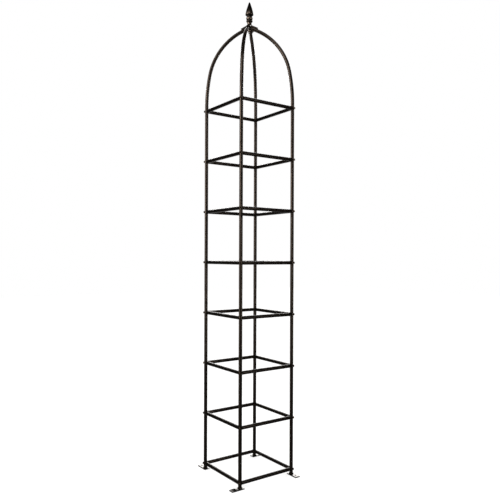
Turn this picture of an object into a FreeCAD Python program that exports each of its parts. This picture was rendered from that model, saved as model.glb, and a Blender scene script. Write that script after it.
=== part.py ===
import FreeCAD, Part
import math
import os

# Garden obelisk: four round tube legs that bend inwards into a dome and meet
# under a cast crown with a turned finial.  Eight square rings of round bar are
# bolted between the legs, and each leg stands on a small pegging plate.
#
# Origin: on the ground, in the middle of the four legs.  +Z is up.
# Every corner repeats the same pieces a quarter turn on.  A corner is built
# with its outward diagonal along +X and is then turned to its place.
# Cutters run a little past the faces they pierce.

V = FreeCAD.Vector
ORIGIN = V(0, 0, 0)
X_AXIS = V(1, 0, 0)
Z_AXIS = V(0, 0, 1)
os.makedirs("parts", exist_ok=True)

# ---------------------------------------------------------------- dimensions
LEG_SPACING = 336.0          # leg centre to leg centre along a side
TUBE_OD = 19.05              # 3/4 in tube
TUBE_WALL = 1.5
TOTAL_HEIGHT = 2565.4        # ground to tip of finial, 101 in

TUBE_R = TUBE_OD / 2.0
TUBE_INNER_R = TUBE_R - TUBE_WALL
LEG_AT = LEG_SPACING / math.sqrt(2.0)    # leg axis to the middle

# Angle of each corner's outward diagonal from +X; the front corner is at -X -Y
CORNERS = {"front": 225.0, "right": 315.0, "back": 45.0, "left": 135.0}

# Rings
RING_COUNT = 8
RING_Z0 = 30.0               # height of the lowest ring
RING_PITCH = 278.0
RING_Z = [RING_Z0 + i * RING_PITCH for i in range(RING_COUNT)]
RING_BAR_D = 19.05           # 3/4 in round bar
RING_COPE_GAP = 0.05         # clearance of the coped bar ends round the leg
BOSS_R = 6.0                 # threaded boss inside each ring corner
BOSS_END = 20.0              # its inner end, from the leg axis
BOSS_STOP = 2.0              # its outer end, from the leg axis, before coping
BOSS_CHAMFER = 0.8

# Splice between lower leg and dome arm
SPLICE_RING_Z = RING_Z[4]    # the splice sits over the fifth ring
SEAM_Z = SPLICE_RING_Z + 20.0
COUPLER_LEN = 86.0
COUPLER_BELOW = 20.0         # lower end of the coupler below the splice ring
COUPLER_GAP = 0.10
COUPLER_WALL = 1.5
COUPLER_CHAMFER = 0.5

# Dome arm centre line
DOME_Z0 = 1999.0             # the leg starts to bend here
DOME_R1 = 922.5              # easy first bend
DOME_A1 = 11.13              # degrees turned by the first bend
DOME_R2 = 321.8              # tighter second bend
DOME_A2 = 64.5               # degrees turned in all at the end of the bend
ARM_END_R = 12.0             # the tube is cut off this far from the middle

# M6 bolts of the rings and of the crown
BOLT_R = 3.0
BOLT_CLEAR_R = 3.3
BOLT_AF = 10.0               # across flats
BOLT_HEAD_H = 4.0
BOLT_HEAD_CHAMFER = 0.9
BOLT_TIP = 0.7               # chamfer at the end of the shank
BOLT_LEN = 30.0
WASHER_R = 6.0
WASHER_T = 1.6
WASHER_ROUND = 0.3
CROWN_BOLT_LEN = 25.0
CROWN_BOLT_AT = 24.0         # distance of the crown bolts from the middle

# Foot plates
PLATE_L = 76.2
PLATE_W = 31.75
PLATE_T = 4.76               # 3/16 in
PLATE_INNER = 20.0           # leg axis to the plate's inner end
PLATE_CORNER_R = 3.5
PLATE_RIM_R = 0.5
STAKE_HOLE_R = 4.5
STAKE_HOLE_AT = 36.0         # leg axis to stake hole, along the plate
WELD_LEG = 3.2               # fillet weld round the foot of the leg
WELD_GAP = 0.02              # clearance between weld and tube
WELD_SINK = 0.4              # depth of the weld into the plate
WELD_TOE = 0.25              # height of the weld's outer edge

# Crown
CROWN_REACH = 44.6           # horizontal reach of each arm
CROWN_BACK = 4.0             # each arm starts this far behind the middle axis
CROWN_W = 25.0
CROWN_LOW = 4.2              # lower edge, shoulder and top of the arm section,
CROWN_SHOULDER = 10.0        # above the tube axis
CROWN_TOP = 17.0
CROWN_BEVEL = 0.8            # on the two lower edges
CROWN_END_ROUND = 1.4
CROWN_SADDLE_GAP = 0.12
SADDLE_END_GAP = 0.6         # clearance at the inner end of the tube
CROWN_TAP_FROM = -10.0       # start of the threaded hole, from the tube axis
CROWN_TAP_LEN = 24.5
HUB_R = 14.5
HUB_LOW_R = 8.0
HUB_LOW_Z = 2408.0
HUB_BEVEL = 0.8              # at the hub's lower end
HUB_TOP_R = 12.8
STUD_R = 4.0
STUD_CLEAR_R = 4.3

# Finial and its fixings
FINIAL_H = 124.0
FINIAL_SEAT_Z = TOTAL_HEIGHT - FINIAL_H
FINIAL_NECK_R = 12.0
FINIAL_SEAT_R = 11.4
FINIAL_BEVEL_H = 1.0         # height of the bevel from neck to seat
FINIAL_BORE_DEPTH = 24.0
FINIAL_BORE_TIP = 3.0        # cone at the bottom of the bore
STUD_END_GAP = 1.0           # stud short of the bottom of the bore
STUD_BELOW_NUT = 3.0
STUD_CHAMFER = 0.8
STUD_WASHER_R = 8.0
STUD_WASHER_T = 1.6
NUT_AF = 13.0                # across flats
NUT_H = 6.5
NUT_CHAMFER = 1.0

# Finial outline from the tip down: (distance below the tip, radius)
FINIAL_TIP = [(0.0, 0.0), (0.35, 0.95), (1.3, 1.7)]
FINIAL_BUD = [
    (1.3, 1.7), (5.0, 3.9), (10.0, 6.1), (16.0, 8.2), (21.5, 10.0), (27.0, 11.9),
    (32.5, 13.7), (38.0, 15.4), (43.5, 17.0), (49.0, 18.4), (54.5, 19.8), (60.0, 21.0),
    (65.5, 22.0), (69.5, 22.2), (72.2, 21.2), (73.8, 19.0), (74.6, 16.6)]
FINIAL_UPPER_NECK = [(74.6, 16.6), (76.0, 14.8), (78.6, 13.9), (81.0, 14.2)]
FINIAL_UPPER_BEAD = [
    (81.0, 14.2), (83.0, 15.9), (86.4, 17.4), (90.0, 18.0), (93.6, 17.6),
    (96.6, 16.4), (98.6, 14.6)]
FINIAL_LOWER_BEAD = [(100.0, 14.6), (101.6, 16.4), (104.2, 17.9), (106.8, 17.7), (109.4, 15.6)]
FINIAL_LOWER_NECK = [
    (109.4, 15.6), (111.2, 14.0), (114.2, 13.0), (117.2, 12.3), (120.0, FINIAL_NECK_R),
    (FINIAL_H - FINIAL_BEVEL_H, FINIAL_NECK_R)]


# ------------------------------------------------------------------- helpers
def save(shape, name):
    shape.exportStep(os.path.join("parts", name + ".step"))


def turned(shape, degrees):
    """Copy turned about the middle axis."""
    copy = shape.copy()
    copy.rotate(ORIGIN, Z_AXIS, degrees)
    return copy


def at_corners(shape):
    return [turned(shape, angle) for angle in CORNERS.values()]


def moved(shape, x, y, z):
    copy = shape.copy()
    copy.translate(V(x, y, z))
    return copy


def one_solid(shape):
    clean = shape.removeSplitter()
    if len(clean.Solids) != 1:
        raise ValueError("expected one solid, found %d" % len(clean.Solids))
    return clean.Solids[0]


def along(shape, origin, direction):
    """Turn a shape built along +Z so that it runs along direction."""
    copy = shape.copy()
    copy.Placement = FreeCAD.Placement(
        V(*origin), FreeCAD.Rotation(Z_AXIS, V(*direction)))
    return copy


def arc(start, middle, end):
    return Part.Arc(start, middle, end).toShape()


def circle_edges(shape):
    return [e for e in shape.Edges if isinstance(e.Curve, Part.Circle)]


def revolved(outline):
    return Part.Face(outline).revolve(ORIGIN, Z_AXIS, 360)


def closed_outline(points):
    """Closed polygon through (radius, height) points."""
    return Part.makePolygon([V(x, 0, z) for x, z in points + points[:1]])


def hex_prism(across_flats, height, chamfer):
    corner_r = across_flats / math.sqrt(3.0)
    points = [V(corner_r * math.cos(math.radians(60 * k)),
                corner_r * math.sin(math.radians(60 * k)), 0) for k in range(7)]
    prism = Part.Face(Part.makePolygon(points)).extrude(V(0, 0, height))
    # corner chamfer on the outer face, as on a rolled head
    cone = revolved(closed_outline([
        (0, -0.01),
        (corner_r + 0.2, -0.01),
        (corner_r + 0.2, height - chamfer * 0.9),
        (across_flats / 2.0 - 0.15, height + 0.001),
        (0, height + 0.001)]))
    return prism.common(cone)


def bolt(length):
    """Hex bolt along +Z: seat of the head at z=0, head below, shank above."""
    overlap = 0.5            # of the shank into the head
    head = hex_prism(BOLT_AF, BOLT_HEAD_H, BOLT_HEAD_CHAMFER)
    head.rotate(ORIGIN, X_AXIS, 180)
    shank = Part.makeCylinder(BOLT_R, length - BOLT_TIP + overlap, V(0, 0, -overlap))
    tip = Part.makeCone(BOLT_R, BOLT_R - BOLT_TIP, BOLT_TIP, V(0, 0, length - BOLT_TIP))
    return one_solid(head.fuse([shank, tip]))


def washer(outer_r, inner_r, thickness):
    disc = Part.makeCylinder(outer_r, thickness)
    disc = disc.cut(Part.makeCylinder(inner_r, thickness + 2, V(0, 0, -1)))
    outer_edges = [e for e in circle_edges(disc) if e.Curve.Radius > inner_r + 0.5]
    return disc.makeFillet(WASHER_ROUND, outer_edges)


# ------------------------------------------------------ dome arm centre line
def dome_point(turn):
    """Centre line point at a turn in degrees from vertical, in the XZ plane."""
    first = math.radians(DOME_A1)
    angle = math.radians(turn)
    if angle <= first:
        return V(LEG_AT - DOME_R1 * (1 - math.cos(angle)), 0,
                 DOME_Z0 + DOME_R1 * math.sin(angle))
    x = LEG_AT - DOME_R1 * (1 - math.cos(first))
    z = DOME_Z0 + DOME_R1 * math.sin(first)
    return V(x - DOME_R2 * (math.cos(first) - math.cos(angle)), 0,
             z + DOME_R2 * (math.sin(angle) - math.sin(first)))


BEND_END = dome_point(DOME_A2)
SLOPE = math.radians(90.0 - DOME_A2)                 # fall of the arm's straight top
UP_NORMAL = (math.sin(SLOPE), 0.0, math.cos(SLOPE))  # square to the arm, upwards
DOWN_ARM = (math.cos(SLOPE), 0.0, -math.sin(SLOPE))


def arm_top(radius, above=0.0):
    """The axis point of the arm's straight top at this radius, then moved
    square to the axis by above."""
    z = BEND_END.z + (BEND_END.x - radius) * math.tan(SLOPE)
    return (radius + above * math.sin(SLOPE), 0.0, z + above * math.cos(SLOPE))


# ---------------------------------------------------------------------- legs
def radial_hole(z):
    """Cutter for a bolt hole right through the leg along the diagonal."""
    overrun = 4
    return along(Part.makeCylinder(BOLT_CLEAR_R, TUBE_OD + 2 * overrun),
                 (LEG_AT - TUBE_R - overrun, 0, z), X_AXIS)


def lower_leg():
    height = SEAM_Z - PLATE_T
    tube = Part.makeCylinder(TUBE_R, height, V(LEG_AT, 0, PLATE_T))
    tube = tube.cut(Part.makeCylinder(TUBE_INNER_R, height + 2, V(LEG_AT, 0, PLATE_T - 1)))
    for z in RING_Z:
        if z < SEAM_Z:
            tube = tube.cut(radial_hole(z))
    return one_solid(tube)


def arm_path():
    upright = Part.LineSegment(V(LEG_AT, 0, SEAM_Z), dome_point(0)).toShape()
    easy_bend = arc(dome_point(0), dome_point(DOME_A1 / 2), dome_point(DOME_A1))
    tight_bend = arc(dome_point(DOME_A1), dome_point((DOME_A1 + DOME_A2) / 2), BEND_END)
    straight_top = Part.LineSegment(BEND_END, V(*arm_top(ARM_END_R))).toShape()
    return Part.Wire([upright, easy_bend, tight_bend, straight_top])


def swept(radius):
    profile = Part.Wire([Part.makeCircle(radius, V(LEG_AT, 0, SEAM_Z), Z_AXIS)])
    return arm_path().makePipeShell([profile], True, False)


def dome_arm():
    tube = swept(TUBE_R).cut(swept(TUBE_INNER_R))
    for z in RING_Z:
        if z > SEAM_Z:
            tube = tube.cut(radial_hole(z))
    overrun = 3
    crown_hole = along(Part.makeCylinder(BOLT_CLEAR_R, 2 * (TUBE_R + overrun)),
                       arm_top(CROWN_BOLT_AT, -TUBE_R - overrun), UP_NORMAL)
    return one_solid(tube.cut(crown_hole))


def coupler():
    """Sleeve inside the tube that joins lower leg and dome arm."""
    radius = TUBE_INNER_R - COUPLER_GAP
    low_z = SPLICE_RING_Z - COUPLER_BELOW
    sleeve = Part.makeCylinder(radius, COUPLER_LEN, V(LEG_AT, 0, low_z))
    sleeve = sleeve.makeChamfer(COUPLER_CHAMFER, circle_edges(sleeve))
    sleeve = sleeve.cut(Part.makeCylinder(radius - COUPLER_WALL, COUPLER_LEN + 2,
                                          V(LEG_AT, 0, low_z - 1)))
    return one_solid(sleeve.cut(radial_hole(SPLICE_RING_Z)))


# --------------------------------------------------------------------- rings
# A ring and its fixings are built at z=0 and lifted to each height.
def ring_boss():
    inner_x = LEG_AT - BOSS_END
    boss = along(Part.makeCylinder(BOSS_R, BOSS_END - BOSS_STOP), (inner_x, 0, 0), X_AXIS)
    inner_edges = [e for e in circle_edges(boss) if abs(e.Curve.Center.x - inner_x) < 0.01]
    return boss.makeChamfer(BOSS_CHAMFER, inner_edges)


def ring():
    """Square of round bar.  The bar ends are coped round the legs, and are
    welded to a short threaded boss just inside each leg."""
    half = LEG_SPACING / 2.0
    bar = along(Part.makeCylinder(RING_BAR_D / 2.0, LEG_SPACING), (-half, -half, 0), X_AXIS)
    bars = [turned(bar, 90 * k) for k in range(4)]
    body = bars[0].fuse(bars[1:] + at_corners(ring_boss()))

    size = 60                # height and width of the cutters
    leg = Part.makeCylinder(TUBE_R + RING_COPE_GAP, size, V(LEG_AT, 0, -size / 2))
    # nothing of the bar passes the leg's outer half
    beyond = Part.makeBox(30, size, size, V(LEG_AT + 0.5, -size / 2, -size / 2))
    tap = along(Part.makeCylinder(BOLT_R, BOSS_END + 2), (LEG_AT - BOSS_END - 1, 0, 0), X_AXIS)
    for angle in CORNERS.values():
        body = body.cut([turned(cutter, angle) for cutter in (leg, beyond, tap)])
    return one_solid(body)


def ring_bolt():
    return along(bolt(BOLT_LEN), (LEG_AT + TUBE_R + WASHER_T, 0, 0), (-1, 0, 0))


def ring_washer():
    return along(washer(WASHER_R, BOLT_CLEAR_R, WASHER_T), (LEG_AT + TUBE_R, 0, 0), X_AXIS)


# --------------------------------------------------------------- foot plates
def foot_weld():
    """Fillet weld round the foot of the tube, about the Z axis."""
    inner_r = TUBE_R + WELD_GAP
    outer_r = TUBE_R + WELD_LEG
    inner_low = V(inner_r, 0, PLATE_T - WELD_SINK)
    outer_low = V(outer_r, 0, PLATE_T - WELD_SINK)
    toe = V(outer_r, 0, PLATE_T + WELD_TOE)
    hollow = V(TUBE_R + WELD_LEG * 0.48, 0, PLATE_T + WELD_LEG * 0.66)
    top = V(inner_r, 0, PLATE_T + WELD_LEG * 1.25)
    return revolved(Part.Wire([
        Part.makeLine(inner_low, outer_low), Part.makeLine(outer_low, toe),
        arc(toe, hollow, top), Part.makeLine(top, inner_low)]))


def foot_plate():
    """Plate under one leg; it runs out past the leg along one side of the
    square, so that the four plates form a pinwheel."""
    box = Part.makeBox(PLATE_L, PLATE_W, PLATE_T, V(-PLATE_INNER, -PLATE_W / 2, 0))
    upright = [e for e in box.Edges
               if abs(e.Vertexes[0].Point.z - e.Vertexes[-1].Point.z) > PLATE_T - 0.01]
    plate = box.makeFillet(PLATE_CORNER_R, upright)
    rim = [e for e in plate.Edges if abs(e.BoundBox.ZMax - PLATE_T) < 1e-4
           and abs(e.BoundBox.ZMin - PLATE_T) < 1e-4]
    plate = plate.makeFillet(PLATE_RIM_R, rim)
    plate = plate.cut(Part.makeCylinder(STAKE_HOLE_R, PLATE_T + 2, V(STAKE_HOLE_AT, 0, -1)))
    plate = one_solid(plate.fuse(foot_weld()))
    # the long direction points 45 degrees off the outward diagonal
    return moved(turned(plate, -45.0), LEG_AT, 0, 0)


# --------------------------------------------------------------------- crown
def crown_arm():
    """Saddle arm over one tube end, cut flat on top for the finial."""
    start = arm_top(-CROWN_BACK)

    def at(across, above):
        return V(start[0] + above * UP_NORMAL[0], across, start[2] + above * UP_NORMAL[2])

    side = CROWN_W / 2.0
    low_side = side - CROWN_BEVEL
    bevel_top = CROWN_LOW + CROWN_BEVEL
    section = Part.Face(Part.Wire([
        Part.makeLine(at(-low_side, CROWN_LOW), at(low_side, CROWN_LOW)),
        Part.makeLine(at(low_side, CROWN_LOW), at(side, bevel_top)),
        Part.makeLine(at(side, bevel_top), at(side, CROWN_SHOULDER)),
        arc(at(side, CROWN_SHOULDER), at(0, CROWN_TOP), at(-side, CROWN_SHOULDER)),
        Part.makeLine(at(-side, CROWN_SHOULDER), at(-side, bevel_top)),
        Part.makeLine(at(-side, bevel_top), at(-low_side, CROWN_LOW))]))
    length = ((CROWN_REACH + CROWN_BACK) / math.cos(SLOPE)
              - CROWN_TOP * math.tan(SLOPE) * 0.5)
    arm = section.extrude(V(DOWN_ARM[0] * length, 0, DOWN_ARM[2] * length))
    # round the end face, except along its lower edge
    end_face = [f for f in arm.Faces if f.normalAt(0, 0).dot(V(*DOWN_ARM)) > 0.99][0]
    arm = arm.makeFillet(CROWN_END_ROUND, [
        e for e in end_face.Edges if e.CenterOfMass.z > end_face.CenterOfMass.z - 3.0])
    return arm.cut(Part.makeBox(200, 200, 60, V(-100, -100, FINIAL_SEAT_Z)))


def crown_hub():
    axis_z = arm_top(0.0)[2]     # where the four tube axes would meet
    return revolved(closed_outline([
        (0, HUB_LOW_Z), (HUB_LOW_R - HUB_BEVEL, HUB_LOW_Z),
        (HUB_LOW_R, HUB_LOW_Z + HUB_BEVEL), (HUB_LOW_R, axis_z - 6.0),
        (HUB_R, axis_z - 1.0), (HUB_R, FINIAL_SEAT_Z - 3.4),
        (HUB_TOP_R + 0.8, FINIAL_SEAT_Z - 0.7), (HUB_TOP_R, FINIAL_SEAT_Z),
        (0, FINIAL_SEAT_Z)]))


def crown():
    """Four saddle arms that lie over the tube ends, cast with a hub."""
    angles = [45 + 90 * k for k in range(4)]
    arm = crown_arm()
    body = crown_hub().fuse([turned(arm, angle) for angle in angles])
    saddle = along(Part.makeCylinder(TUBE_R + CROWN_SADDLE_GAP, 70),
                   arm_top(ARM_END_R - SADDLE_END_GAP), DOWN_ARM)
    tap = along(Part.makeCylinder(BOLT_R, CROWN_TAP_LEN),
                arm_top(CROWN_BOLT_AT, CROWN_TAP_FROM), UP_NORMAL)
    cuts = []
    for angle in angles:
        cuts += [turned(saddle, angle), turned(tap, angle)]
    cuts.append(Part.makeCylinder(STUD_CLEAR_R, 80, V(0, 0, HUB_LOW_Z - 10)))
    return one_solid(body.cut(cuts))


def under_arm(fixing):
    """Set a crown bolt or washer below the arm, a washer's thickness off it."""
    return along(fixing, arm_top(CROWN_BOLT_AT, -TUBE_R - WASHER_T), UP_NORMAL)


# -------------------------------------------------------------------- finial
def finial():
    """Pointed bud over two beads and a short neck, bored for the stud."""
    def points(stations):
        return [V(radius, 0, TOTAL_HEIGHT - below) for below, radius in stations]

    def spline(stations):
        curve = Part.BSplineCurve()
        curve.interpolate(points(stations))
        return curve.toShape()

    seat_z = FINIAL_SEAT_Z
    seat_centre = V(0, 0, seat_z)
    seat_edge = V(FINIAL_SEAT_R, 0, seat_z)
    body = revolved(Part.Wire([
        arc(*points(FINIAL_TIP)),
        spline(FINIAL_BUD),
        spline(FINIAL_UPPER_NECK),
        spline(FINIAL_UPPER_BEAD),
        Part.makeLine(*points([FINIAL_UPPER_BEAD[-1], FINIAL_LOWER_BEAD[0]])),
        spline(FINIAL_LOWER_BEAD),
        spline(FINIAL_LOWER_NECK),
        Part.makeLine(V(FINIAL_NECK_R, 0, seat_z + FINIAL_BEVEL_H), seat_edge),
        Part.makeLine(seat_edge, seat_centre),
        Part.makeLine(seat_centre, V(0, 0, TOTAL_HEIGHT))]))
    bore_z = seat_z - 0.01
    bore = Part.makeCylinder(STUD_R, FINIAL_BORE_DEPTH, V(0, 0, bore_z))
    cone = Part.makeCone(STUD_R, 0.0, FINIAL_BORE_TIP, V(0, 0, bore_z + FINIAL_BORE_DEPTH))
    return one_solid(body.cut(bore).cut(cone))


NUT_TOP_Z = HUB_LOW_Z - STUD_WASHER_T


def finial_stud():
    low_z = NUT_TOP_Z - NUT_H - STUD_BELOW_NUT
    top_z = FINIAL_SEAT_Z + FINIAL_BORE_DEPTH - STUD_END_GAP
    stud = Part.makeCylinder(STUD_R, top_z - low_z, V(0, 0, low_z))
    return stud.makeChamfer(STUD_CHAMFER, circle_edges(stud))


def finial_washer():
    return moved(washer(STUD_WASHER_R, STUD_CLEAR_R, STUD_WASHER_T), 0, 0, NUT_TOP_Z)


def finial_nut():
    nut = hex_prism(NUT_AF, NUT_H, NUT_CHAMFER)
    nut.rotate(ORIGIN, X_AXIS, 180)
    nut = nut.cut(Part.makeCylinder(STUD_R, NUT_H + 4, V(0, 0, -NUT_H - 2)))
    return one_solid(moved(nut, 0, 0, NUT_TOP_Z))


# --------------------------------------------------------------------- write
for piece, shape in (("lower_leg", lower_leg()), ("dome_arm", dome_arm()),
                     ("leg_coupler", coupler()), ("foot_plate", foot_plate())):
    for corner, angle in CORNERS.items():
        save(turned(shape, angle), piece + "_" + corner)

for piece, shape in (("ring", ring()),
                     ("ring_bolts", Part.makeCompound(at_corners(ring_bolt()))),
                     ("ring_washers", Part.makeCompound(at_corners(ring_washer())))):
    for i, z in enumerate(RING_Z):
        save(moved(shape, 0, 0, z), "%s_%d" % (piece, i + 1))

save(crown(), "crown")
crown_bolt = under_arm(bolt(CROWN_BOLT_LEN))
crown_washer = under_arm(washer(WASHER_R, BOLT_CLEAR_R, WASHER_T))
save(Part.makeCompound(at_corners(crown_bolt)), "crown_bolts")
save(Part.makeCompound(at_corners(crown_washer)), "crown_washers")
save(finial(), "finial")
save(finial_stud(), "finial_stud")
save(finial_washer(), "finial_washer")
save(finial_nut(), "finial_nut")
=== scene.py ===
"""A tall four-legged tubular frame with a domed top, a cast crown and a finial.

The frame stands on z = 0 about the Z axis, in metres.  Its four legs lie on the
diagonals of a square; eight square rungs join them, and each leg carries on
above its joint as an arm that bends in to the crown.  A part that repeats at
every corner is drawn with its diagonal along +X and then turned into place.
"""
import bpy
import bmesh
import math
import numpy as np
from mathutils import Matrix, Vector, noise


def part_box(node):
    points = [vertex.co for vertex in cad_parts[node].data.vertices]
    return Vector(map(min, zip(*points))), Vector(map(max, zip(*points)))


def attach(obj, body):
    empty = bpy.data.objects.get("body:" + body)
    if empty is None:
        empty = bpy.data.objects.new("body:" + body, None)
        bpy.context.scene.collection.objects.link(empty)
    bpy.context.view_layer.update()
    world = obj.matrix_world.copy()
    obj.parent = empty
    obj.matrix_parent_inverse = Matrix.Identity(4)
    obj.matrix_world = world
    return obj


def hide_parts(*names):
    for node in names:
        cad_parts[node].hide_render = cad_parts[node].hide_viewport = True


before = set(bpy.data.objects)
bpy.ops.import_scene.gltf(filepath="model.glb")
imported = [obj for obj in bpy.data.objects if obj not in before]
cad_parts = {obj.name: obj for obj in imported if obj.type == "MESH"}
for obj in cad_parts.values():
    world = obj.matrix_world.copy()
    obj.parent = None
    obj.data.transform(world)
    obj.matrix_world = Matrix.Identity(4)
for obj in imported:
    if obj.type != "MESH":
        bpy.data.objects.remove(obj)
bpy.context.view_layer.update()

SCENE = bpy.context.scene
MM = 0.001
# direction of each corner, degrees from +X
SIDES = {"front": 225.0, "right": 315.0, "back": 45.0, "left": 135.0}


# ------------------------------------------------------- sizes from the frame
def centre_and_size(node):
    low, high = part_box(node)
    return (low + high) / 2, high - low


leg_centre, leg_size = centre_and_size("lower_leg_front")
AXIS_R = math.hypot(leg_centre.x, leg_centre.y)    # middle of the frame to a leg's axis
CORNER = AXIS_R / math.sqrt(2)                     # x and y of a leg's axis
RUNG_L = 2 * CORNER
LEG_R = leg_size.x / 2
LEG_BORE_R = LEG_R - 1.5 * MM
LEG_Z0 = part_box("lower_leg_front")[0].z
SEAM_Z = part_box("lower_leg_front")[1].z            # joint of leg and arm
RUNGS = ["ring_%d" % i for i in range(1, 9)]
RUNG_Z = [centre_and_size(node)[0].z for node in RUNGS]
BAR_R = centre_and_size("ring_1")[1].z / 2
PLATE_T = LEG_Z0
TIP_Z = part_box("finial")[1].z
SEAT_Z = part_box("finial")[0].z
FINIAL_WASHER_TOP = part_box("finial_washer")[1].z

BOLT_HOLE_R = 3.3 * MM
BOLT_R = 3.0 * MM
WASHER_R = centre_and_size("ring_washers_1")[1].z / 2
WASHER_T = 1.6 * MM

# centre line of an arm: straight, easy bend, tighter bend, straight top
BEND_Z = 1999.0 * MM
EASY_R, EASY_END = 922.5 * MM, math.radians(11.13)
TIGHT_R, TIGHT_END = 321.8 * MM, math.radians(64.5)
ARM_END_R = 12.0 * MM                              # arm's end to the Z axis
CROWN_BOLT_AT = 24.0 * MM                          # crown bolt to the Z axis


def bend_point(angle):
    """Radius and height on the bends, where the arm leans in by angle."""
    if angle <= EASY_END:
        return AXIS_R - EASY_R * (1 - math.cos(angle)), BEND_Z + EASY_R * math.sin(angle)
    r = AXIS_R - EASY_R * (1 - math.cos(EASY_END))
    z = BEND_Z + EASY_R * math.sin(EASY_END)
    return (r - TIGHT_R * (math.cos(EASY_END) - math.cos(angle)),
            z + TIGHT_R * (math.sin(angle) - math.sin(EASY_END)))


SLOPE = math.pi / 2 - TIGHT_END                    # of the straight top
TOP_R, TOP_Z = bend_point(TIGHT_END)
STRAIGHT_L = BEND_Z - SEAM_Z
EASY_L = EASY_R * EASY_END
TIGHT_L = TIGHT_R * (TIGHT_END - EASY_END)
TOP_START = STRAIGHT_L + EASY_L + TIGHT_L
ARM_L = TOP_START + (TOP_R - ARM_END_R) / math.cos(SLOPE)

SIDEWAYS = np.array([0, 1.0, 0])
TOP_NORMAL = np.array([math.sin(SLOPE), 0, math.cos(SLOPE)])


def leg_path(station):
    """Point on the axis and outward normal, a distance above the leg's foot."""
    return np.array([AXIS_R, 0, LEG_Z0 + station]), np.array([1.0, 0, 0])


def arm_path(station):
    """Point on the centre line and outward normal, a distance above the seam."""
    if station <= STRAIGHT_L:
        (r, z), lean = (AXIS_R, SEAM_Z + station), 0.0
    elif station <= STRAIGHT_L + EASY_L:
        lean = (station - STRAIGHT_L) / EASY_R
        r, z = bend_point(lean)
    elif station <= TOP_START:
        lean = EASY_END + (station - STRAIGHT_L - EASY_L) / TIGHT_R
        r, z = bend_point(lean)
    else:
        lean = TIGHT_END
        beyond = station - TOP_START
        r, z = TOP_R - beyond * math.cos(SLOPE), TOP_Z + beyond * math.sin(SLOPE)
    return np.array([r, 0, z]), np.array([math.cos(lean), 0, math.sin(lean)])


def top_point(r, offset):
    """Point off the centre line of the straight top, at radius r along it."""
    return np.array([r, 0, TOP_Z + (TOP_R - r) * math.tan(SLOPE)]) + offset * TOP_NORMAL


# --------------------------------------------------------------- mesh helpers
class Shell:
    """Vertices, a brush coordinate for each to guide the paint strokes, and faces."""

    def __init__(self):
        self.verts, self.brush, self.faces = [], [], []

    def add(self, verts, brush, faces):
        start = len(self.verts)
        self.verts += [tuple(map(float, v)) for v in verts]
        self.brush += [tuple(map(float, b)) for b in brush]
        self.faces += [tuple(i + start for i in face) for face in faces]

    def point(self, position, brush=None):
        """Add one vertex and return its index."""
        self.verts.append(tuple(map(float, position)))
        self.brush.append(tuple(map(float, position if brush is None else brush)))
        return len(self.verts) - 1

    def ring(self, stations):
        """Row round the Z axis from evenly spaced (radius, height) pairs."""
        row = []
        for k, (r, z) in enumerate(stations):
            angle = 2 * math.pi * k / len(stations)
            row.append(self.point((r * math.cos(angle), r * math.sin(angle), z)))
        return row

    def circle(self, r, z, count):
        """Level row; on the axis it is a single point."""
        return [self.point((0, 0, z))] if r < 1e-7 else self.ring([(r, z)] * count)

    def bridge(self, rows, closed=False, flip=False):
        """Skin between rows; a row of one vertex closes to a point."""
        pairs = list(zip(rows[:-1], rows[1:]))
        if closed:
            pairs.append((rows[-1], rows[0]))
        for a, b in pairs:
            count = max(len(a), len(b))
            for k in range(count):
                k2 = (k + 1) % count
                if len(a) == 1:
                    face = (a[0], b[k2], b[k])
                elif len(b) == 1:
                    face = (a[k], a[k2], b[0])
                else:
                    face = (a[k], a[k2], b[k2], b[k])
                self.faces.append(face[::-1] if flip else face)

    def bridge_capped(self, rows):
        """Skin between rows, with a flat face on the first and the last."""
        self.bridge(rows)
        self.faces.append(tuple(rows[0][::-1]))
        self.faces.append(tuple(rows[-1]))


def turned(points, degrees):
    """Points turned about the Z axis."""
    angle = math.radians(degrees)
    c, s = math.cos(angle), math.sin(angle)
    p = np.asarray(points, float)
    return np.column_stack([p[:, 0] * c - p[:, 1] * s, p[:, 0] * s + p[:, 1] * c, p[:, 2]])


def place(points, origin, direction):
    """Points drawn along +Z, put at origin along a direction that isn't vertical."""
    z = np.array(direction, float)
    z /= np.linalg.norm(z)
    up = np.array([0, 0, 1.0])
    x = up - (up @ z) * z
    x /= np.linalg.norm(x)
    y = np.cross(z, x)
    p = np.asarray(points, float)
    return np.asarray(origin) + p[:, [0]] * x + p[:, [1]] * y + p[:, [2]] * z


def lathe(profile, count, closed=False):
    """Surface turned from (radius, height) pairs."""
    shell = Shell()
    shell.bridge([shell.circle(r, z, count) for r, z in profile], closed=closed)
    return shell


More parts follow.
